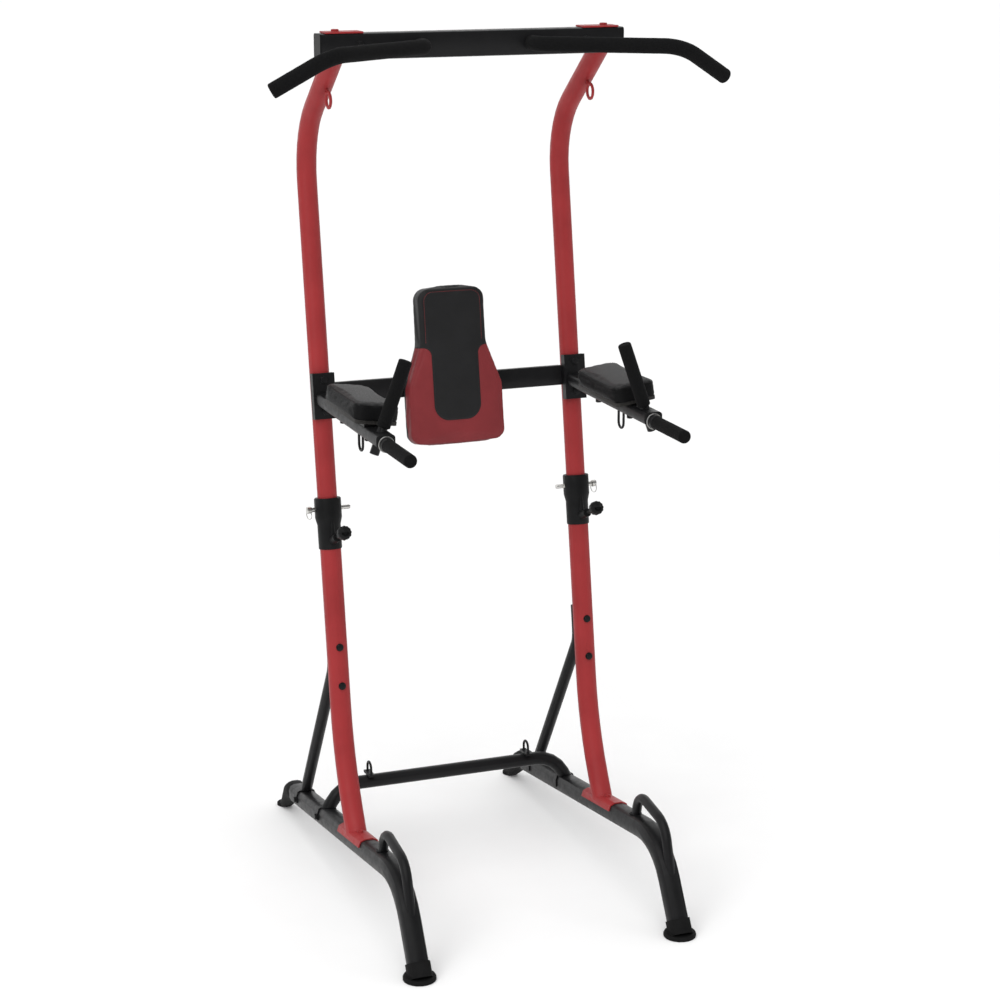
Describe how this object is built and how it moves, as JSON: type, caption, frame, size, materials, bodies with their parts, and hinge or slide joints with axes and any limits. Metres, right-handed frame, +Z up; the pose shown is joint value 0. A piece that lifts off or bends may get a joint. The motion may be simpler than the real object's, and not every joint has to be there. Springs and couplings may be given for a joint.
{
  "type": "power tower",
  "caption": "Free-standing power tower with a pull-up bar, padded dip arms, a back rest and a push-up base, on a height-adjustable upper frame.",
  "frame": {"origin": "on the floor, at the middle of the bounding box's base", "axes": "+Z up; -Y towards the user, who stands in front of the dip arms; +X to the right as seen from the front"},
  "size_m": [1.089, 1.1712, 2.073],
  "materials": {
    "red_paint": "satin powder coat",
    "black_paint": "satin powder coat",
    "foam": "matte closed-cell foam",
    "vinyl": "grained synthetic leather with red panels",
    "rubber": "matte moulded rubber",
    "black_plastic": "fine-textured moulding",
    "zinc": "bright zinc plate",
    "board": "black laminated plywood"
  },
  "bodies": {
    "base_frame": {"base_tube_L": "black_paint", "front_foot_L": "rubber", "rear_foot_L": "rubber", "lower_upright_L": "red_paint", "adjust_sleeve_L": "black_plastic", "brace_bolt_1_L": "zinc", "brace_bolt_2_L": "zinc", "rear_brace_L": "black_paint", "push_up_handle_L": "black_paint", "band_loop_L": "black_paint", "base_tube_R": "black_paint", "front_foot_R": "rubber", "rear_foot_R": "rubber", "lower_upright_R": "red_paint", "adjust_sleeve_R": "black_plastic", "brace_bolt_1_R": "zinc", "brace_bolt_2_R": "zinc", "rear_brace_R": "black_paint", "push_up_handle_R": "black_paint", "band_loop_R": "black_paint", "rear_crossbar": "black_paint"},
    "upper_frame": {"upper_upright_L": "red_paint", "bar_plug_L": "black_plastic", "top_plate_L": "red_paint", "top_ring_L": "red_paint", "pull_up_bar_L": "black_paint", "pull_up_grip_L": "foam", "arm_bracket_L": "black_paint", "arm_L": "black_paint", "arm_loop_L": "black_paint", "angled_grip_L": "foam", "grip_core_L": "black_plastic", "straight_grip_L": "foam", "elbow_pad_L": "vinyl", "elbow_board_L": "board", "upper_upright_R": "red_paint", "bar_plug_R": "black_plastic", "top_plate_R": "red_paint", "top_ring_R": "red_paint", "pull_up_bar_R": "black_paint", "pull_up_grip_R": "foam", "arm_bracket_R": "black_paint", "arm_R": "black_paint", "arm_loop_R": "black_paint", "angled_grip_R": "foam", "grip_core_R": "black_plastic", "straight_grip_R": "foam", "elbow_pad_R": "vinyl", "elbow_board_R": "board", "top_bar": "black_paint", "mid_crossbar": "black_paint", "back_rest_pad": "vinyl", "back_rest_board": "board"},
    "pin_L": {"locking_pin_L": "zinc"},
    "knob_L": {"adjust_knob_L": "black_plastic"},
    "pin_R": {"locking_pin_R": "zinc"},
    "knob_R": {"adjust_knob_R": "black_plastic"}
  },
  "joints": [
    {"name": "height_slide", "type": "slide", "parent": "base_frame", "child": "upper_frame", "axis": [0, 0.158, 0.9874], "range_m": [0, 0.14]},
    {"name": "pin_pull_L", "type": "slide", "parent": "base_frame", "child": "pin_L", "axis": [-1, 0, 0], "range_m": [0, 0.12]},
    {"name": "knob_turn_L", "type": "hinge", "parent": "base_frame", "child": "knob_L", "pos_m": [-0.322, -0.0225, 0.906], "axis": [0, -0.91, 0.4147], "range_deg": [0, 720]},
    {"name": "pin_pull_R", "type": "slide", "parent": "base_frame", "child": "pin_R", "axis": [1, 0, 0], "range_m": [0, 0.12]},
    {"name": "knob_turn_R", "type": "hinge", "parent": "base_frame", "child": "knob_R", "pos_m": [0.322, -0.0225, 0.906], "axis": [0, -0.91, 0.4147], "range_deg": [0, 720]}
  ]
}
